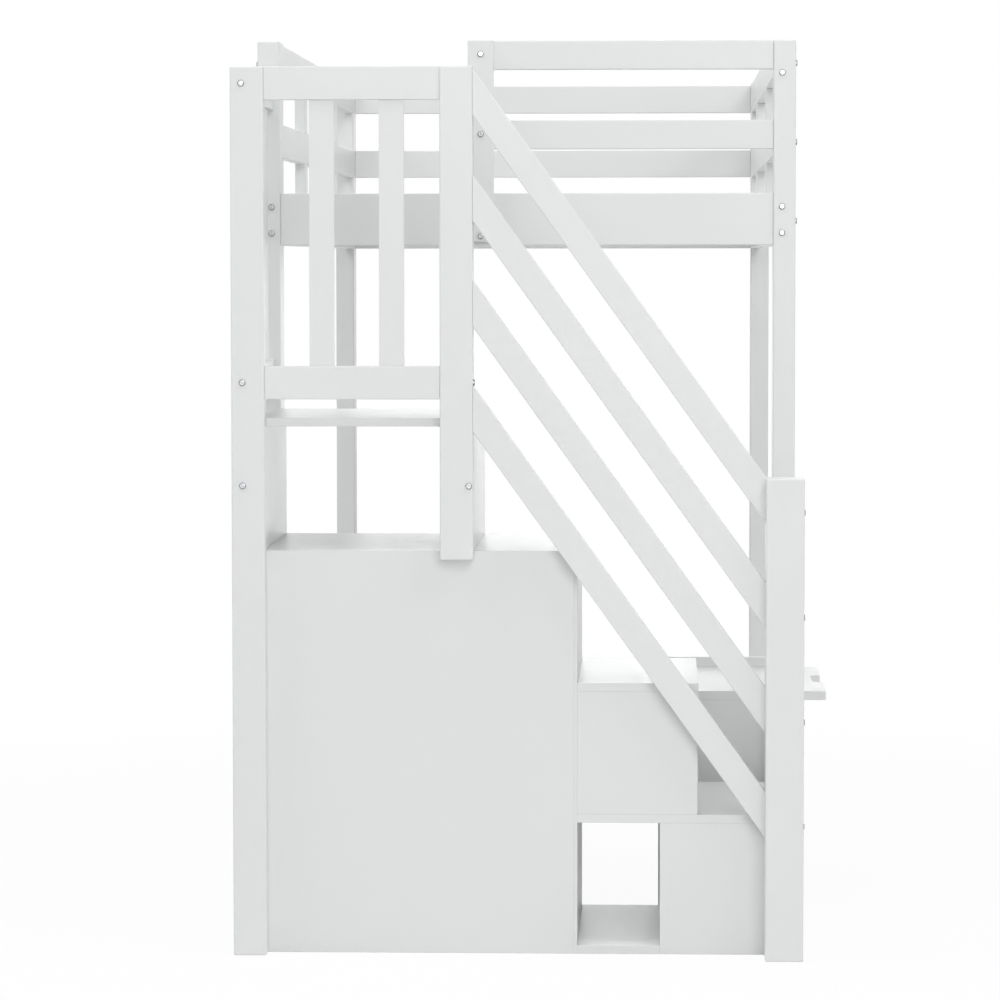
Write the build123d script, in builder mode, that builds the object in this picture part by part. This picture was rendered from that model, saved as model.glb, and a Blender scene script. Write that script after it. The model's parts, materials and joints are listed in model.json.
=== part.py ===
"""Loft bed with a storage staircase across its near end, in millimetres.

Lengths are written in drawing coordinates: x runs right from the bed's left outer face, y runs
away from the staircase's outer panels, z runs up from the floor. The pieces are built shifted,
so that the model's origin is the middle of its bounding box, on the floor.
"""

import os

from build123d import *

os.makedirs("parts", exist_ok=True)

# Bed frame
bed_width = 1067.0
bed_length = 1989.0
post_width = 44.0
post_depth = 80.0
post_height = 1738.0
rail_thick = 22.0
end_rail_recess = 5.0
bed_rail_low = 1334.0
bed_rail_height = 103.0
near_rail_height = 57.0
near_middle_low = 1524.0
side_rail_height = 66.0
side_top_low = 1667.5
side_middle_low = 1509.5
batten_width = 60.0
batten_from_post = 488.0
entrance_width = 374.5
entry_post_width = 51.0
entry_post_low = 1340.5

# Slatted base
cleat_height = 25.0
cleat_thick = 20.0
cleat_rise = 20.0
slat_thick = 15.0
slat_width = 70.0
slat_count = 13
slat_end_gap = 2.0

# Landing guard and handrails
guard_post_width = 62.0
guard_post_depth = 40.0
guard_post_low = 746.0
guard_top = 1663.5
guard_rail_height = 62.0
guard_low_rail_low = 1045.5
guard_rail_recess = 3.0
guard_slat_width = 46.5
guard_slat_thick = 12.0
guard_slat_first = 84.5
guard_slat_pitch = 130.0
guard_slat_count = 2
side_slat_first = 117.0
side_slat_pitch = 120.0
side_slat_count = 3
side_rail_inset = 10.0
stretcher_middle = 884.0
newel_width = 71.0
newel_depth = 75.0
newel_height = 900.0
handrail_width = 50.5
handrail_thick = 22.0
handrail_count = 4
handrail_pitch = 195.8
handrail_first_low = 1571.7
handrail_fall = 1.39
newel_bolt_rise = 20.0
handrail_bolt_reach = 9.0

# Staircase
board = 16.0
stair_depth = 475.6
stair_left = 39.0
step_tops = (264.5, 512.5, 760.5, 1009.5)
step_fronts = (1063.0, 872.0, 645.0, 451.5)
cubby_width = 155.0
panel_thick = 12.0
panel_reveal = 6.0
edge_reveal = 1.5
shelf_middle = 378.0

# Drawers in the risers of the two lower steps
drawer_side = 12.0
drawer_floor = 8.0
drawer_gap = 1.5
drawer_slide_gap = 0.5
drawer_head_room = 30.0
notch_length = 110.0
notch_depth = 20.0

# Low stand behind the near right post, with its sliding top
stand_left = 797.0
stand_inside = 458.5
slide_top = 438.0
slide_thick = 18.0
slide_length = 300.0
slide_pulled = 67.0
slide_gap = 0.4
lip_height = 21.0
groove_depth = 6.0
slide_notch_length = 136.0

# Rounded edges
post_ease = 3.0
rail_ease = 2.0
board_ease = 1.0

# Fasteners
bolt_radius = 3.0
bolt_head_radius = 6.0
bolt_head_height = 2.8
bolt_socket = 2.3
bolt_dome = 0.7
bolt_reach = 35.0
bolt_hole_play = 0.3
nut_radius = 5.0
nut_length = 16.0
nut_play = 0.15
nut_inset = 1.0
bolt_end_gap = 2.0
rail_bolt_inset = 17.0
side_bolt_heights = (1693.0, 1537.5, 1382.0)
face_bolt_heights = (1674.0, 1410.0, 1358.0)
entry_bolt_heights = (1711.0, 1553.5, 1352.0)

# Positions that follow from these sizes
inner_left = post_width
inner_right = bed_width - post_width
near_face = stair_depth
near_back = near_face + post_depth
far_face = near_face + bed_length - post_depth
bed_end = near_face + bed_length
near_rails = (near_face + end_rail_recess, near_face + end_rail_recess + rail_thick)
far_rails = (bed_end - end_rail_recess - rail_thick, bed_end - end_rail_recess)
left_rails = (inner_left - rail_thick, inner_left)
right_rails = (inner_right, inner_right + rail_thick)
between_posts = (near_back, far_face)
entry_left = inner_left + entrance_width
bed_rail_top = bed_rail_low + bed_rail_height
guard_front = -guard_post_depth
guard_right = step_fronts[3]
guard_left = guard_right - guard_post_width
guard_rails = (guard_front + guard_rail_recess, guard_front + guard_rail_recess + rail_thick)
guard_low_rail_top = guard_low_rail_low + guard_rail_height
guard_top_rail_low = guard_top - guard_rail_height
newel_left = bed_width - newel_width
cubby_left = step_fronts[2]
cubby_right = cubby_left + cubby_width
inner_panel = (stair_depth - board, stair_depth)
stand_right = step_fronts[0]
stand_near = (near_back, near_back + board)
stand_far_face = stand_near[1] + stand_inside
stand_far = (stand_far_face, stand_far_face + board)
slide_low = slide_top - slide_thick
slide_end = bed_width + slide_pulled
origin_x = (slide_end - bolt_head_height) / 2
origin_y = (bed_end + bolt_head_height - newel_depth) / 2


def middle(span):
    """Middle of a (low, high) span."""
    return (span[0] + span[1]) / 2


def length(span):
    """Length of a (low, high) span."""
    return span[1] - span[0]


def finish(name, piece):
    """Label a finished piece and write its STEP file."""
    piece.part.label = name
    export_step(piece.part, f"parts/{name}.step")


def timber(x, y, z, ease, cuts=(), holes_x=(), holes_y=(), pockets=()):
    """One piece of sawn timber or board with eased edges.

    x, y and z are its spans. Each cut is a box of three spans that is taken away. A hole is
    (start, end, cross position, height), along x or along y, for a bolt's shank. A pocket is
    (face, signed depth, along, height, axis), where a barrel nut lies across the bolt.
    """
    with BuildPart() as piece:
        with BuildSketch(Plane.XY.offset(z[0])):
            with Locations((middle(x) - origin_x, middle(y) - origin_y)):
                Rectangle(length(x), length(y))
        extrude(amount=length(z))
        fillet(piece.edges(), radius=ease)
        for cut_x, cut_y, cut_z in cuts:
            with BuildSketch(Plane.XY.offset(cut_z[0])):
                with Locations((middle(cut_x) - origin_x, middle(cut_y) - origin_y)):
                    Rectangle(length(cut_x), length(cut_y))
            extrude(amount=length(cut_z), mode=Mode.SUBTRACT)
        for start, end, across, height in holes_x:
            with BuildSketch(Plane.YZ.offset(start - origin_x)):
                with Locations((across - origin_y, height)):
                    Circle(bolt_radius + bolt_hole_play)
            extrude(amount=end - start, mode=Mode.SUBTRACT)
        for start, end, across, height in holes_y:
            with BuildSketch(Plane.XZ.offset(origin_y - start)):
                with Locations((across - origin_x, height)):
                    Circle(bolt_radius + bolt_hole_play)
            extrude(amount=start - end, mode=Mode.SUBTRACT)
        for face, depth, along, height, axis in pockets:
            if axis == "x":
                with BuildSketch(Plane.YZ.offset(face - origin_x)):
                    with Locations((along - origin_y, height)):
                        Circle(nut_radius + nut_play)
                extrude(amount=depth, mode=Mode.SUBTRACT)
            else:
                with BuildSketch(Plane.XZ.offset(origin_y - face)):
                    with Locations((along - origin_x, height)):
                        Circle(nut_radius + nut_play)
                extrude(amount=-depth, mode=Mode.SUBTRACT)
    return piece


# Every bolt as its seat, its direction out of the wood, and its length under the head
bolts_placed = []
# Every barrel nut as its middle, the axis that it lies along, its length, and how far its hole
# lies from its middle
nuts_placed = []
# Where a nut lies across a bolt in the middle of a rail, and how deep its pocket goes
nut_back = bolt_reach - bolt_end_gap - nut_radius
rail_pocket = (rail_thick + nut_length) / 2 + nut_inset


def bolt_along_x(seat, sign, across, height, reach):
    """Place a bolt whose head stands on an x face; sign points out of the wood."""
    bolts_placed.append(((seat, across, height), (sign, 0, 0), reach))


def bolt_along_y(seat, sign, across, height, reach):
    """Place a bolt whose head stands on a y face; sign points out of the wood."""
    bolts_placed.append(((across, seat, height), (0, sign, 0), reach))


# Bed posts: a tall square timber at each corner, drilled for the end rails and the long rails
side_hole_y = {"near": middle(near_rails), "far": middle(far_rails)}
face_hole_x = {
    "left": inner_left - rail_bolt_inset,
    "right": inner_right + rail_bolt_inset,
}
post_x = {"left": (0, inner_left), "right": (inner_right, bed_width)}
post_y = {"near": (near_face, near_back), "far": (far_face, bed_end)}
for end in ("near", "far"):
    for side in ("left", "right"):
        span_x, span_y = post_x[side], post_y[end]
        holes_x = [(span_x[0], span_x[1], side_hole_y[end], h) for h in side_bolt_heights]
        holes_y = [(span_y[0], span_y[1], face_hole_x[side], h) for h in face_bolt_heights]
        post = timber(span_x, span_y, (0, post_height), post_ease, (), holes_x, holes_y)
        finish(f"{end}_{side}_post", post)
        outside_x, sign_x = (0, -1) if side == "left" else (bed_width, 1)
        outside_y, sign_y = (near_face, -1) if end == "near" else (bed_end, 1)
        for height in side_bolt_heights:
            open_end = end == "near" and side == "left" and height > bed_rail_top
            reach = post_width - bolt_end_gap if open_end else post_width + bolt_reach
            bolt_along_x(outside_x, sign_x, side_hole_y[end], height, reach)
        for height in face_bolt_heights:
            bolt_along_y(outside_y, sign_y, face_hole_x[side], height, post_depth + bolt_reach)


def end_rail(x, y, bolt_height, ends):
    """Bolt holes at the named ends of a rail across the bed, and nut pockets in its far face."""
    holes, pockets = [], []
    for side in ends:
        if side == "left":
            nut_x = x[0] + nut_back
            holes.append((x[0], x[0] + bolt_reach + bolt_end_gap, middle(y), bolt_height))
        else:
            nut_x = x[1] - nut_back
            holes.append((x[1] - bolt_reach - bolt_end_gap, x[1], middle(y), bolt_height))
        pockets.append((y[1], -rail_pocket, nut_x, bolt_height, "y"))
        nuts_placed.append(((nut_x, middle(y), bolt_height), "y", nut_length, 0))
    return holes, pockets


def long_rail(x, z_bolts):
    """Bolt holes and nut pockets at both ends of a rail along the bed."""
    inner = x[1] if x == left_rails else x[0]
    inward = -1 if x == left_rails else 1
    bolt_x = inner + inward * rail_bolt_inset
    holes, pockets = [], []
    nut_x = middle(x)
    for height in z_bolts:
        holes.append((near_back, near_back + bolt_reach + bolt_end_gap, bolt_x, height))
        holes.append((far_face - bolt_reach - bolt_end_gap, far_face, bolt_x, height))
        for nut_y in (near_back + nut_back, far_face - nut_back):
            pockets.append((inner, inward * rail_pocket, nut_y, height, "x"))
            nuts_placed.append(((nut_x, nut_y, height), "x", nut_length, bolt_x - nut_x))
    return holes, pockets


bed_rail_z = (bed_rail_low, bed_rail_top)
near_middle_z = (near_middle_low, near_middle_low + near_rail_height)
near_top_z = (post_height - near_rail_height, post_height)
side_middle_z = (side_middle_low, side_middle_low + side_rail_height)
side_top_z = (side_top_low, side_top_low + side_rail_height)
top_bolt, middle_bolt, bed_bolt = side_bolt_heights

# Rails across the near end: the bed rail runs from post to post, the two guard rails start
# behind the entry post
entry_x = (entry_left, entry_left + entry_post_width)
entry_y = (near_rails[0] - rail_thick, near_rails[0])
entry_bolt_x = middle(entry_x)
for name, low, span_z, height, ends, entry_height in (
    ("near_bed_rail", inner_left, bed_rail_z, bed_bolt, ("left", "right"), entry_bolt_heights[2]),
    ("near_middle_rail", entry_left, near_middle_z, middle_bolt, ("right",), entry_bolt_heights[1]),
    ("near_top_rail", entry_left, near_top_z, top_bolt, ("right",), entry_bolt_heights[0]),
):
    span_x = (low, inner_right)
    holes, pockets = end_rail(span_x, near_rails, height, ends)
    entry_hole = [(near_rails[0], near_rails[1] - bolt_end_gap, entry_bolt_x, entry_height)]
    rail = timber(span_x, near_rails, span_z, rail_ease, (), holes, entry_hole, pockets)
    finish(name, rail)

# Entry post: a flat upright in front of these three rails, beside the entrance
entry_holes = [(entry_y[0], entry_y[1], entry_bolt_x, height) for height in entry_bolt_heights]
entry = timber(entry_x, entry_y, (entry_post_low, post_height), rail_ease, (), (), entry_holes)
finish("entry_post", entry)
for height in entry_bolt_heights:
    bolt_along_y(entry_y[0], -1, entry_bolt_x, height, 2 * rail_thick - 2 * bolt_end_gap)

# Rails across the far end
for name, span_z, height in (
    ("far_bed_rail", bed_rail_z, bed_bolt),
    ("far_middle_rail", side_middle_z, middle_bolt),
    ("far_top_rail", side_top_z, top_bolt),
):
    span_x = (inner_left, inner_right)
    holes, pockets = end_rail(span_x, far_rails, height, ("left", "right"))
    finish(name, timber(span_x, far_rails, span_z, rail_ease, (), holes, (), pockets))

# Rails along the bed, flush with the posts' inner faces. The middle rails and the battens are
# halved together where they cross
clear_length = length(between_posts)
batten_starts = [near_back + batten_from_post, far_face - batten_from_post - batten_width]
for side, span_x in (("left", left_rails), ("right", right_rails)):
    half = middle(span_x)
    outer_half = (span_x[0], half) if side == "left" else (half, span_x[1])
    inner_half = (half, span_x[1]) if side == "left" else (span_x[0], half)
    crossings = [(outer_half, (start, start + batten_width), side_middle_z) for start in batten_starts]
    for name, span_z, cuts, bolts in (
        ("bed_rail", bed_rail_z, (), face_bolt_heights[1:]),
        ("middle_rail", side_middle_z, crossings, ()),
        ("top_rail", side_top_z, (), face_bolt_heights[:1]),
    ):
        holes, pockets = long_rail(span_x, bolts)
        rail = timber(span_x, between_posts, span_z, rail_ease, cuts, (), holes, pockets)
        finish(f"{side}_{name}", rail)
    with BuildPart() as battens:
        for start in batten_starts:
            upright = timber(span_x, (start, start + batten_width), (bed_rail_top, side_top_low),
                             rail_ease, [(inner_half, (start, start + batten_width), side_middle_z)])
            add(upright.part)
    finish(f"{side}_guard_battens", battens)

# Slatted base: two cleats on the long bed rails carry the slats
cleat_low = bed_rail_low + cleat_rise
cleat_top = cleat_low + cleat_height
deck_top = cleat_top + slat_thick
with BuildPart() as cleats:
    for span_x in ((inner_left, inner_left + cleat_thick), (inner_right - cleat_thick, inner_right)):
        add(timber(span_x, between_posts, (cleat_low, cleat_top), rail_ease).part)
finish("slat_cleats", cleats)

slat_x = (inner_left + slat_end_gap, inner_right - slat_end_gap)
slat_pitch = (clear_length - slat_width) / (slat_count - 1)
with BuildPart() as slats:
    for index in range(slat_count):
        start = near_back + index * slat_pitch
        add(timber(slat_x, (start, start + slat_width), (cleat_top, deck_top), rail_ease).part)
finish("bed_slats", slats)

# Landing guard: two front posts, two rails and two slats between them
left_post_x = (0, guard_post_width)
guard_post_x = (guard_left, guard_right)
guard_bay = (guard_post_width, guard_left)
side_rails = (side_rail_inset, side_rail_inset + rail_thick)
side_bay = (0, near_face)
guard_top_z = (guard_top_rail_low, guard_top)
guard_low_z = (guard_low_rail_low, guard_low_rail_top)
stretcher_z = (stretcher_middle - guard_rail_height / 2, stretcher_middle + guard_rail_height / 2)
side_bolts = (middle(guard_top_z), middle(guard_low_z), stretcher_middle)

post_holes = [(guard_front, 0, middle(side_rails), height) for height in side_bolts]
front_left = timber(left_post_x, (guard_front, 0), (0, guard_top), post_ease, (), (), post_holes)
finish("front_left_post", front_left)
for height in side_bolts:
    bolt_along_y(guard_front, -1, middle(side_rails), height, guard_post_depth + bolt_reach)

platform_right = (guard_right - board, guard_right)
platform_bolt = stretcher_middle
guard_holes_x = [(guard_left, guard_right, middle(guard_rails), middle(guard_low_z))]
guard_holes_y = [(guard_front, 0, middle(platform_right), platform_bolt)]
guard_post = timber(guard_post_x, (guard_front, 0), (guard_post_low, guard_top), post_ease,
                    (), guard_holes_x, guard_holes_y)
finish("guard_post", guard_post)
bolt_along_x(guard_right, 1, middle(guard_rails), middle(guard_low_z), guard_post_width + bolt_reach)
bolt_along_y(guard_front, -1, middle(platform_right), platform_bolt, guard_post_depth + bolt_reach)

finish("guard_top_rail", timber(guard_bay, guard_rails, guard_top_z, rail_ease))
low_nut_x = guard_left - nut_back
low_hole = [(guard_left - bolt_reach - bolt_end_gap, guard_left, middle(guard_rails), middle(guard_low_z))]
low_pocket = [(guard_rails[1], -rail_pocket, low_nut_x, middle(guard_low_z), "y")]
nuts_placed.append(((low_nut_x, middle(guard_rails), middle(guard_low_z)), "y", nut_length, 0))
finish("guard_bottom_rail",
       timber(guard_bay, guard_rails, guard_low_z, rail_ease, (), low_hole, (), low_pocket))

slat_y = (middle(guard_rails) - guard_slat_thick / 2, middle(guard_rails) + guard_slat_thick / 2)
slat_z = (guard_low_rail_top, guard_top_rail_low)
with BuildPart() as guard_slats:
    for index in range(guard_slat_count):
        start = guard_post_width + guard_slat_first + index * guard_slat_pitch
        add(timber((start, start + guard_slat_width), slat_y, slat_z, board_ease).part)
finish("guard_slats", guard_slats)

# Side guard, from the front left post back to the near left bed post, and the stretcher under it
for name, span_z in (
    ("side_guard_top_rail", guard_top_z),
    ("side_guard_bottom_rail", guard_low_z),
    ("side_stretcher", stretcher_z),
):
    holes = [(0, bolt_reach + bolt_end_gap, middle(side_rails), middle(span_z))]
    pockets = [(side_rails[1], -rail_pocket, nut_back, middle(span_z), "x")]
    nuts_placed.append(((middle(side_rails), nut_back, middle(span_z)), "x", nut_length, 0))
    finish(name, timber(side_rails, side_bay, span_z, rail_ease, (), (), holes, pockets))

side_slat_x = (middle(side_rails) - guard_slat_thick / 2, middle(side_rails) + guard_slat_thick / 2)
with BuildPart() as side_slats:
    for index in range(side_slat_count):
        start = side_slat_first + index * side_slat_pitch
        add(timber(side_slat_x, (start, start + guard_slat_width), slat_z, board_ease).part)
finish("side_guard_slats", side_slats)

# Newel post at the foot of the stairs
handrail_y = (guard_front, guard_front + handrail_thick)
handrail_depth = handrail_width * (1 + handrail_fall**2) ** 0.5
handrail_drop = handrail_fall * (newel_left - guard_right)
handrail_lows = [handrail_first_low - index * handrail_pitch for index in range(handrail_count)]
newel_bolts = [low - handrail_drop + newel_bolt_rise for low in handrail_lows]
newel_holes = [(newel_left, bed_width, middle(handrail_y), height) for height in newel_bolts]
newel = timber((newel_left, bed_width), (-newel_depth, 0), (0, newel_height), post_ease, (), newel_holes)
finish("newel_post", newel)

# Handrails: four parallel boards that fall from the guard post to the newel, cut upright at both ends
for index, low in enumerate(handrail_lows):
    with BuildPart() as handrail:
        with BuildSketch(Plane.XZ.offset(origin_y - handrail_y[1])):
            with BuildLine():
                Polyline(
                    (guard_right - origin_x, low),
                    (newel_left - origin_x, low - handrail_drop),
                    (newel_left - origin_x, low - handrail_drop + handrail_depth),
                    (guard_right - origin_x, low + handrail_depth),
                    close=True,
                )
            make_face()
        extrude(amount=handrail_thick)
        long_edges = handrail.edges().filter_by(lambda edge: edge.length > 2 * handrail_depth)
        fillet(long_edges, radius=rail_ease)
        with BuildSketch(Plane.YZ.offset(newel_left - origin_x)):
            with Locations((middle(handrail_y) - origin_y, newel_bolts[index])):
                Circle(bolt_radius + bolt_hole_play)
        extrude(amount=-handrail_bolt_reach - bolt_end_gap, mode=Mode.SUBTRACT)
    finish(f"handrail_{index + 1}", handrail)
    bolt_along_x(bed_width, 1, middle(handrail_y), newel_bolts[index], newel_width + handrail_bolt_reach)

# Platform, the fourth step: a tread on two upright boards
platform_x = (stair_left, guard_right)
platform_z = (step_tops[2], step_tops[3] - board)
full_depth = (0, stair_depth)
finish("platform_tread",
       timber(platform_x, full_depth, (platform_z[1], step_tops[3]), board_ease))
finish("platform_left_side",
       timber((stair_left, stair_left + board), full_depth, platform_z, board_ease))
right_hole = [(0, bolt_reach + bolt_end_gap, middle(platform_right), platform_bolt)]
board_nut_length = board - 2 * nut_inset
right_pocket = [(platform_right[0], board - nut_inset, nut_back, platform_bolt, "x")]
nuts_placed.append(((middle(platform_right), nut_back, platform_bolt), "x", board_nut_length, 0))
finish("platform_right_side",
       timber(platform_right, full_depth, platform_z, board_ease, (), (), right_hole, right_pocket))

# Cabinet under the third step. Its outer panel lies in a rebate, so that a narrow edge of the
# side boards shows beside it
cabinet_x = (stair_left, cubby_left)
panel_x = (stair_left + panel_reveal, cubby_left - panel_reveal)
rebate = (panel_x, (0, panel_thick), (0, step_tops[2]))
tread_3_low = step_tops[2] - board
cabinet_inside = (stair_left + board, cubby_left - board)
behind_panel = (panel_thick, stair_depth)
finish("step_3_tread",
       timber(cabinet_x, full_depth, (tread_3_low, step_tops[2]), board_ease, [rebate]))
finish("cabinet_outer_panel",
       timber(panel_x, (0, panel_thick), (0, step_tops[2]), board_ease))
finish("cabinet_left_side",
       timber((stair_left, cabinet_inside[0]), full_depth, (0, tread_3_low), board_ease, [rebate]))
finish("cabinet_right_side",
       timber((cabinet_inside[1], cubby_left), full_depth, (0, tread_3_low), board_ease, [rebate]))
finish("cabinet_bottom", timber(cabinet_inside, behind_panel, (0, board), board_ease))
finish("cabinet_shelf",
       timber(cabinet_inside, behind_panel,
              (shelf_middle - board / 2, shelf_middle + board / 2), board_ease))

# Second step: tread and outer panel
tread_2_low = step_tops[1] - board
tread_1_low = step_tops[0] - board
step_2_x = (cubby_left, step_fronts[1])
step_1_x = (cubby_left, step_fronts[0])
finish("step_2_tread",
       timber(step_2_x, full_depth, (tread_2_low, step_tops[1]), board_ease))
finish("step_2_outer_panel",
       timber((cubby_left, step_fronts[1] - edge_reveal), (0, board), (step_tops[0], tread_2_low),
              board_ease))

# First step: tread, outer panel, divider beside the open cubby, and bottom
inner_notch = ((cubby_left, step_fronts[1] - edge_reveal), inner_panel, (tread_1_low, step_tops[0]))
finish("step_1_tread",
       timber(step_1_x, full_depth, (tread_1_low, step_tops[0]), board_ease, [inner_notch]))
finish("step_1_outer_panel",
       timber((cubby_right, step_fronts[0] - edge_reveal), (0, board), (0, tread_1_low), board_ease))
finish("cubby_divider",
       timber((cubby_right, cubby_right + board), (board, inner_panel[0]), (board, tread_1_low),
              board_ease))
bottom_notch = ((cubby_right, step_fronts[0]), (0, board), (0, board))
finish("step_1_bottom", timber(step_1_x, full_depth, (0, board), board_ease, [bottom_notch]))

# Inner panel: one stepped board that closes both steps on the side of the bed
with BuildPart() as inner:
    with BuildSketch(Plane.XZ.offset(origin_y - inner_panel[1])):
        with BuildLine():
            Polyline(
                (cubby_right - origin_x, board),
                (step_fronts[0] - edge_reveal - origin_x, board),
                (step_fronts[0] - edge_reveal - origin_x, tread_1_low),
                (step_fronts[1] - edge_reveal - origin_x, tread_1_low),
                (step_fronts[1] - edge_reveal - origin_x, tread_2_low),
                (cubby_left - origin_x, tread_2_low),
                (cubby_left - origin_x, tread_1_low),
                (cubby_right - origin_x, tread_1_low),
                close=True,
            )
        make_face()
    extrude(amount=board)
finish("stair_inner_panel", inner)


# Drawers: a notched front and an open tray behind it
def drawer(name, back, front, floor_z, ceiling_z):
    """Build a drawer between x = back and x = front, from the floor under it to the ceiling."""
    front_x = (front - board, front)
    front_y = (board + drawer_gap, inner_panel[0] - drawer_gap)
    front_z = (floor_z + drawer_slide_gap, ceiling_z - drawer_gap)
    tray_x = (back + drawer_gap, front - board)
    tray_y = (front_y[0] + drawer_gap, front_y[1] - drawer_gap)
    tray_top = ceiling_z - drawer_head_room
    with BuildPart() as face:
        with BuildSketch(Plane.YZ.offset(front_x[0] - origin_x)):
            with Locations((middle(front_y) - origin_y, middle(front_z))):
                Rectangle(length(front_y), length(front_z))
            with Locations((middle(front_y) - origin_y, front_z[1])):
                SlotOverall(notch_length, 2 * notch_depth, mode=Mode.SUBTRACT)
        extrude(amount=board)
        fillet(face.faces().sort_by(Axis.X)[-1].edges(), radius=board_ease)
    finish(f"{name}_front", face)
    with BuildPart() as tray:
        with BuildSketch(Plane.XY.offset(front_z[0])):
            with Locations((middle(tray_x) - origin_x, middle(tray_y) - origin_y)):
                Rectangle(length(tray_x), length(tray_y))
        extrude(amount=tray_top - front_z[0])
        fillet(tray.edges().filter_by(Axis.Z).group_by(Axis.X)[0], radius=board_ease)
        with BuildSketch(Plane.XY.offset(front_z[0] + drawer_floor)):
            with Locations((middle(tray_x) - origin_x, middle(tray_y) - origin_y)):
                Rectangle(length(tray_x) - 2 * drawer_side, length(tray_y) - 2 * drawer_side)
        extrude(amount=tray_top, mode=Mode.SUBTRACT)
    finish(f"{name}_tray", tray)


drawer("step_1_drawer", cubby_right + board, step_fronts[0], board, tread_1_low)
drawer("step_2_drawer", cubby_left, step_fronts[1], step_tops[0], tread_2_low)

# Low stand: two sides and a back, with a sliding top that runs in a groove of the far side
stand_x = (stand_left, stand_right)
carry_z = slide_low - slide_gap
groove = (stand_x, (stand_far[0], stand_far[0] + groove_depth), (carry_z, slide_top + slide_gap))
finish("stand_near_side", timber(stand_x, stand_near, (0, carry_z), board_ease))
finish("stand_far_side",
       timber(stand_x, stand_far, (0, slide_top + lip_height), board_ease, [groove]))
finish("stand_back",
       timber((stand_left, stand_left + board), (stand_near[1], stand_far[0]), (0, carry_z), board_ease))

slide_x = (slide_end - slide_length, slide_end)
slide_y = (stand_near[0] + slide_gap, stand_far[0] + groove_depth - slide_gap)
with BuildPart() as slide:
    with BuildSketch(Plane.XY.offset(slide_low)):
        with Locations((middle(slide_x) - origin_x, middle(slide_y) - origin_y)):
            Rectangle(length(slide_x), length(slide_y))
        with Locations((slide_x[1] - origin_x, middle(slide_y) - origin_y)):
            SlotOverall(slide_notch_length, 2 * notch_depth, rotation=90, mode=Mode.SUBTRACT)
    extrude(amount=slide_thick)
    fillet(slide.faces().sort_by(Axis.Z)[-1].edges(), radius=board_ease)
finish("sliding_top", slide)


def bolt(reach):
    """A button-head bolt with a hexagon socket, seated at the origin with its head towards +z."""
    with BuildPart() as fastener:
        with BuildSketch():
            Circle(bolt_head_radius)
        extrude(amount=bolt_head_height)
        fillet(fastener.edges().sort_by(Axis.Z)[-1], radius=bolt_head_height * bolt_dome)
        with BuildSketch(Plane.XY.offset(bolt_head_height)):
            RegularPolygon(bolt_socket, 6)
        extrude(amount=-bolt_head_height * bolt_dome, mode=Mode.SUBTRACT)
        with BuildSketch():
            Circle(bolt_radius)
        extrude(amount=-reach)
    return fastener.part


def barrel_nut(length_along, hole_offset):
    """A barrel nut that lies along z at the origin, with the bolt's hole across it."""
    with BuildPart() as nut:
        Cylinder(nut_radius, length_along)
        with BuildSketch(Plane.XZ.offset(-nut_radius)):
            with Locations((0, hole_offset)):
                Circle(bolt_radius + nut_play)
        extrude(amount=2 * nut_radius, mode=Mode.SUBTRACT)
    return nut.part


# Fasteners: every bolt at its seat, and every barrel nut across its bolt
with BuildPart() as fasteners:
    for seat, outward, reach in bolts_placed:
        at = (seat[0] - origin_x, seat[1] - origin_y, seat[2])
        shape = bolt(reach)
        with Locations(Plane(origin=at, z_dir=outward)):
            add(shape, clean=False)
    for centre, axis, length_along, hole_offset in nuts_placed:
        at = (centre[0] - origin_x, centre[1] - origin_y, centre[2])
        lying = Plane(origin=at, x_dir=(0, 0, 1), z_dir=(1, 0, 0) if axis == "x" else (0, 1, 0))
        shape = barrel_nut(length_along, hole_offset)
        with Locations(lying):
            add(shape, clean=False)
finish("bolts_and_nuts", fasteners)
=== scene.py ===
"""Looks for a white loft bed with a storage staircase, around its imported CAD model. In metres."""

import json
import math

import bpy
from mathutils import Matrix, Vector


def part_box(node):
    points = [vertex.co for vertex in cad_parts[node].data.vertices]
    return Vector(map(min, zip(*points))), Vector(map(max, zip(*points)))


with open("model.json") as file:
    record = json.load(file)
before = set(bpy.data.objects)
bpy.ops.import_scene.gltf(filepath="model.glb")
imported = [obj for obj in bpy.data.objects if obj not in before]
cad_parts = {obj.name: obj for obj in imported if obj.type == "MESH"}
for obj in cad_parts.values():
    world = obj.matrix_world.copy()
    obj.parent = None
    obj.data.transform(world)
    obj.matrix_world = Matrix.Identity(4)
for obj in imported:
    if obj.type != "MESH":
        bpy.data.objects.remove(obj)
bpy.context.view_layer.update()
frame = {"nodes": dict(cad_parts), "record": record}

# Camera, fitted to the photograph: its place in the row frame, its turn to the left, its pitch
# below the horizon and its roll in degrees, and its focal length in pixels
camera_place = (0.2300, -8.5909, 1.3017)
camera_turn = 2.288
camera_pitch = 3.446
camera_roll = -0.050
focal_pixels = 3960.0
picture_pixels = 1000.0
sensor_width = 36.0
camera_reach = 100.0

# Colours are linear
white = (1.0, 1.0, 1.0)

# Paint: the cool tint that the photograph shows, on timber and on boards
paint_colour = (0.790, 0.800, 0.800)
board_colour = (0.785, 0.796, 0.797)
paint_roughness = 0.42
board_roughness = 0.36
paint_variation = 0.03
board_variation = 0.02
paint_index = 1.46
paint_specular = 0.35
sheen_below, sheen_above = 0.04, 0.05
tone_scale = 2.3

# Roller texture of the paint, and the wood grain under it: waves per metre and heights
peel_scale = 420.0
peel_strength = 0.06
peel_height = 0.0004
grain_long, grain_across = 6.0, 260.0
grain_strength = 0.10
board_grain = 60.0
board_grain_strength = 0.05
grain_height = 0.0006

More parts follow.
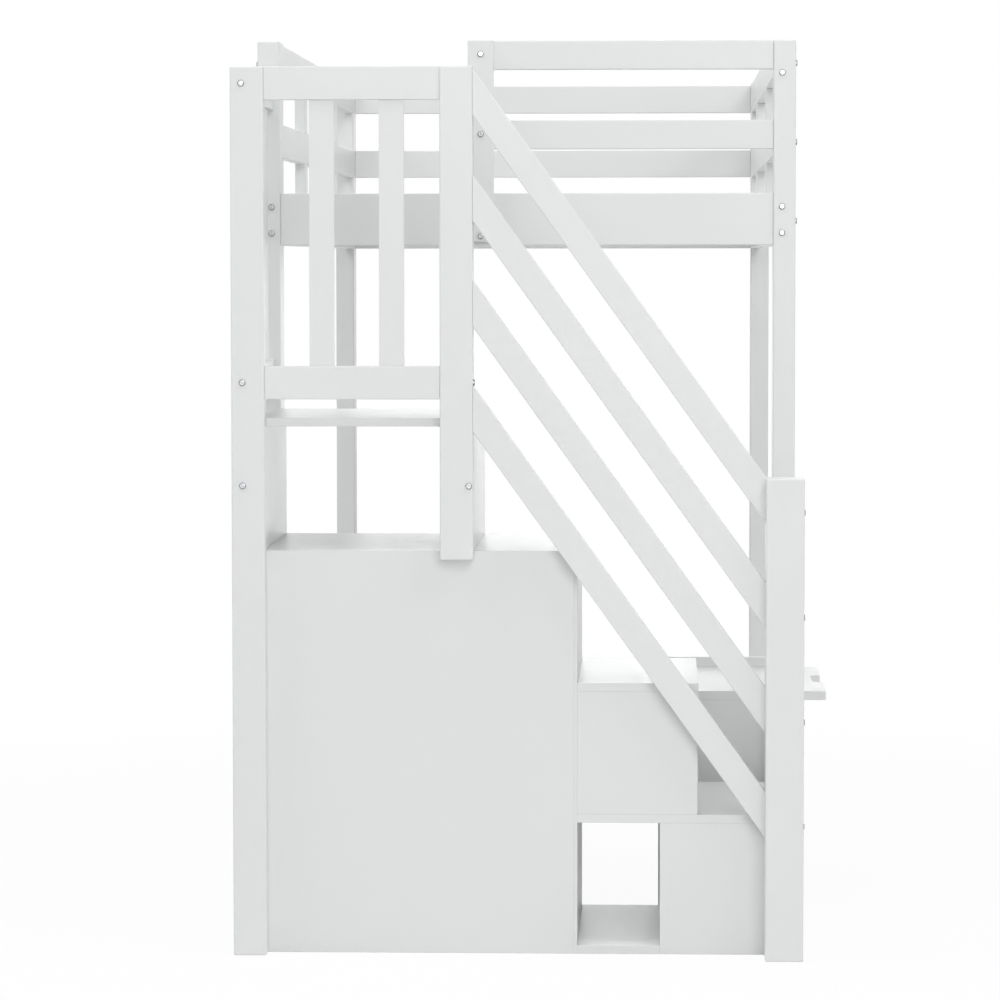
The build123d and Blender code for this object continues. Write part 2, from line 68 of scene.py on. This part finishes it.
# Zinc-plated steel: two tones of the plating, and painted shade that darkens the rim of each head as it
# turns from the view
steel_dull = (0.46, 0.47, 0.49)
steel_bright = (0.66, 0.67, 0.69)
painted_rim_shade = (0.12, 0.12, 0.13)
steel_sheen = (0.24, 0.40)
rim_shade_start, rim_shade_end = 0.03, 0.30
patch_scale = 320.0
mark_scale = 900.0
mark_strength = 0.15
mark_height = 0.0001

# Stage: the floor lies just under the feet, and its shadow fades out at the reach
floor_colour = (0.82, 0.82, 0.82)
floor_size = 40.0
floor_drop = 0.0004
floor_roughness = 0.9
floor_variation = 0.01
floor_tone_scale = 1.5
floor_white_share = 0.92
floor_shadow_reach = 3.0
world_strength = 0.355

# Lamps: name, place, the point that each one looks at, size in metres and power in watts
lamps = (
    ("upper_right", (3.4, -2.6, 6.0), (0.0, -0.4, 0.8), 3.5, 118.0),
    ("upper_left", (-3.4, -1.6, 6.0), (0.0, -0.2, 0.8), 3.5, 150.0),
    ("front", (1.0, -7.5, 3.2), (0.0, 0.0, 0.9), 4.0, 166.0),
    ("behind", (0.6, 6.5, 2.6), (0.0, -0.8, 0.5), 4.0, 38.0),
    ("under_bed", (-0.1, 0.7, 0.95), (-0.1, -1.0, 0.45), 0.8, 1.8),
)


def link(tree, source, output, target, socket):
    """Connect a node's output to another node's input, both by name."""
    tree.links.new(source.outputs[output], target.inputs[socket])


def coordinates(tree, scale=white):
    """Object coordinates, scaled along each axis."""
    place = tree.nodes.new("ShaderNodeTexCoord")
    mapping = tree.nodes.new("ShaderNodeMapping")
    mapping.inputs["Scale"].default_value = scale
    link(tree, place, "Object", mapping, "Vector")
    return mapping


def noise(tree, mapping, scale, detail, roughness):
    """A noise texture on mapped coordinates."""
    texture = tree.nodes.new("ShaderNodeTexNoise")
    texture.inputs["Scale"].default_value = scale
    texture.inputs["Detail"].default_value = detail
    texture.inputs["Roughness"].default_value = roughness
    link(tree, mapping, "Vector", texture, "Vector")
    return texture


def ramp(tree, source, output, low, high, first, second):
    """A colour ramp with two stops."""
    colours = tree.nodes.new("ShaderNodeValToRGB")
    colours.color_ramp.elements[0].position = low
    colours.color_ramp.elements[1].position = high
    colours.color_ramp.elements[0].color = (*first, 1.0)
    colours.color_ramp.elements[1].color = (*second, 1.0)
    link(tree, source, output, colours, "Fac")
    return colours


def bump(tree, texture, strength, height):
    """Small relief from a noise texture."""
    relief = tree.nodes.new("ShaderNodeBump")
    relief.inputs["Strength"].default_value = strength
    relief.inputs["Distance"].default_value = height
    link(tree, texture, "Fac", relief, "Height")
    return relief


def grey(level):
    """One level as a colour."""
    return (level, level, level)


def shaded(colour, share):
    """A colour, made darker by a share."""
    return tuple(c * (1 - share) for c in colour)


def new_material(name):
    """A material, its node tree and its shader."""
    material = bpy.data.materials.new(name)
    material.use_nodes = True
    return material, material.node_tree, material.node_tree.nodes["Principled BSDF"]


def white_paint(name, colour, roughness, grain_scale, strength, variation):
    """Satin paint: faint wood grain under the paint, roller texture, and soft changes of tone."""
    material, tree, shader = new_material(name)
    broad = noise(tree, coordinates(tree), tone_scale, 3.0, 0.5)
    tone = ramp(tree, broad, "Fac", 0.3, 0.7, shaded(colour, variation), colour)
    link(tree, tone, "Color", shader, "Base Color")
    grain = noise(tree, coordinates(tree, grain_scale), 1.0, 4.0, 0.55)
    peel = noise(tree, coordinates(tree), peel_scale, 2.0, 0.5)
    peel_relief = bump(tree, peel, peel_strength, peel_height)
    grain_relief = bump(tree, grain, strength, grain_height)
    link(tree, peel_relief, "Normal", grain_relief, "Normal")
    link(tree, grain_relief, "Normal", shader, "Normal")
    low, high = grey(roughness - sheen_below), grey(roughness + sheen_above)
    sheen = ramp(tree, grain, "Fac", 0.35, 0.65, low, high)
    link(tree, sheen, "Color", shader, "Roughness")
    shader.inputs["IOR"].default_value = paint_index
    shader.inputs["Specular IOR Level"].default_value = paint_specular
    return material


def zinc_steel():
    """Bright zinc-plated steel: fine turning marks, a patchy sheen and painted shade on the rim."""
    material, tree, shader = new_material("zinc_steel")
    shader.inputs["Metallic"].default_value = 1.0
    patches = noise(tree, coordinates(tree), patch_scale, 3.0, 0.6)
    tone = ramp(tree, patches, "Fac", 0.35, 0.65, steel_dull, steel_bright)
    # Painted shade: the base colour darkens towards the rim of each head, where it faces away from the
    # view
    slope = tree.nodes.new("ShaderNodeLayerWeight")
    rim_shade = ramp(tree, slope, "Facing", rim_shade_start, rim_shade_end, white, painted_rim_shade)
    blend = tree.nodes.new("ShaderNodeMixRGB")
    blend.blend_type = "MULTIPLY"
    blend.inputs["Fac"].default_value = 1.0
    link(tree, tone, "Color", blend, "Color1")
    link(tree, rim_shade, "Color", blend, "Color2")
    link(tree, blend, "Color", shader, "Base Color")
    low, high = steel_sheen
    sheen = ramp(tree, patches, "Fac", 0.3, 0.7, grey(low), grey(high))
    link(tree, sheen, "Color", shader, "Roughness")
    marks = noise(tree, coordinates(tree, grey(mark_scale)), 1.0, 2.0, 0.5)
    relief = bump(tree, marks, mark_strength, mark_height)
    link(tree, relief, "Normal", shader, "Normal")
    return material


def timber_paint(axis):
    """Paint on timber whose grain runs along an axis."""
    grain_scale = tuple(grain_long if letter == axis else grain_across for letter in "xyz")
    name = f"painted_timber_{axis}"
    return white_paint(name, paint_colour, paint_roughness, grain_scale, grain_strength, paint_variation)


# One paint for each way that the timber's grain runs, and one for the boards
paints = {axis: timber_paint(axis) for axis in "xyz"}
board_paint = white_paint("painted_board", board_colour, board_roughness, grey(board_grain),
                          board_grain_strength, board_variation)
steel = zinc_steel()


def grain_axis(name):
    """The way that a timber node's grain runs: mostly its longest side."""
    if any(word in name for word in ("guard_battens", "guard_slats", "entry_post")):
        return "z"
    if name == "bed_slats":
        return "x"
    low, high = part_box(name)
    span = high - low
    return "xyz"[max(range(3), key=lambda index: span[index])]


def dress(name, node, slot):
    """Give a CAD node the material of its slot."""
    if slot == "zinc_steel":
        material = steel
    elif slot == "painted_board":
        material = board_paint
    else:
        material = paints[grain_axis(name)]
    node.data.materials.clear()
    node.data.materials.append(material)


slots = {part["node"]: part["material_slot"] for part in frame["record"]["subparts"]}
for name, node in frame["nodes"].items():
    dress(name, node, slots[name])


def maximum(tree, first, first_output, second, second_output):
    """The larger of two node values."""
    larger = tree.nodes.new("ShaderNodeMath")
    larger.operation = "MAXIMUM"
    link(tree, first, first_output, larger, 0)
    link(tree, second, second_output, larger, 1)
    return larger


def white_rays(tree):
    """One for camera, glossy and transmission rays, nought for the others."""
    path = tree.nodes.new("ShaderNodeLightPath")
    seen = maximum(tree, path, "Is Camera Ray", path, "Is Glossy Ray")
    return maximum(tree, seen, "Value", path, "Is Transmission Ray")


def stage_floor():
    """A large pale floor that keeps the object's soft shadow, near white to the white rays."""
    mesh = bpy.data.meshes.new("floor")
    half = floor_size / 2
    corners = [(-half, -half, 0), (half, -half, 0), (half, half, 0), (-half, half, 0)]
    mesh.from_pydata(corners, [], [(0, 1, 2, 3)])
    floor = bpy.data.objects.new("floor", mesh)
    floor.location.z = -floor_drop
    bpy.context.scene.collection.objects.link(floor)
    material, tree, shader = new_material("floor")
    shader.inputs["Roughness"].default_value = floor_roughness
    shader.inputs["Specular IOR Level"].default_value = 0.0
    texture = noise(tree, coordinates(tree), floor_tone_scale, 2.0, 0.5)
    tone = ramp(tree, texture, "Fac", 0.3, 0.7, shaded(floor_colour, floor_variation), floor_colour)
    link(tree, tone, "Color", shader, "Base Color")
    glow = tree.nodes.new("ShaderNodeEmission")
    glow.inputs["Color"].default_value = (*white, 1.0)
    glow.inputs["Strength"].default_value = 1.0
    away = tree.nodes.new("ShaderNodeTexGradient")
    away.gradient_type = "SPHERICAL"
    link(tree, coordinates(tree, grey(1 / floor_shadow_reach)), "Vector", away, "Vector")
    whiteness = tree.nodes.new("ShaderNodeMapRange")
    whiteness.inputs["To Min"].default_value = 1.0
    whiteness.inputs["To Max"].default_value = floor_white_share
    link(tree, away, "Fac", whiteness, "Value")
    share = tree.nodes.new("ShaderNodeMath")
    share.operation = "MULTIPLY"
    link(tree, white_rays(tree), "Value", share, 0)
    link(tree, whiteness, "Result", share, 1)
    mix = tree.nodes.new("ShaderNodeMixShader")
    link(tree, share, "Value", mix, "Fac")
    link(tree, shader, "BSDF", mix, 1)
    link(tree, glow, "Emission", mix, 2)
    link(tree, mix, "Shader", tree.nodes["Material Output"], "Surface")
    mesh.materials.append(material)


def area_lamp(name, place, target, size, power):
    """A square soft lamp that points at a target."""
    lamp = bpy.data.lights.new(name, "AREA")
    lamp.shape = "SQUARE"
    lamp.size = size
    lamp.energy = power
    holder = bpy.data.objects.new(name, lamp)
    holder.location = place
    aim = Vector(target) - Vector(place)
    holder.rotation_euler = aim.to_track_quat("-Z", "Y").to_euler()
    holder.visible_camera = False
    bpy.context.scene.collection.objects.link(holder)


def white_background(tree, strength):
    """A white background node of some strength."""
    background = tree.nodes.new("ShaderNodeBackground")
    background.inputs["Color"].default_value = (*white, 1.0)
    background.inputs["Strength"].default_value = strength
    return background


def make_world():
    """Even light from all around, seen as plain white."""
    world = bpy.data.worlds.new("studio")
    bpy.context.scene.world = world
    world.use_nodes = True
    tree = world.node_tree
    mix = tree.nodes.new("ShaderNodeMixShader")
    link(tree, white_rays(tree), "Value", mix, "Fac")
    link(tree, white_background(tree, world_strength), "Background", mix, 1)
    link(tree, white_background(tree, 1.0), "Background", mix, 2)
    link(tree, mix, "Shader", tree.nodes["World Output"], "Surface")


def make_camera():
    """The photograph's camera, from its place, turn, pitch and roll."""
    data = bpy.data.cameras.new("camera")
    data.sensor_width = sensor_width
    data.lens = focal_pixels * sensor_width / picture_pixels
    data.clip_end = camera_reach
    camera = bpy.data.objects.new("camera", data)
    turn = Matrix.Rotation(math.radians(camera_turn), 4, "Z")
    tilt = Matrix.Rotation(math.radians(90.0 - camera_pitch), 4, "X")
    roll = Matrix.Rotation(math.radians(camera_roll), 4, "Z")
    camera.matrix_world = Matrix.Translation(camera_place) @ turn @ tilt @ roll
    bpy.context.scene.collection.objects.link(camera)
    bpy.context.scene.camera = camera


stage_floor()
for lamp in lamps:
    area_lamp(*lamp)
make_world()
make_camera()
bpy.context.scene.view_settings.view_transform = "Standard"
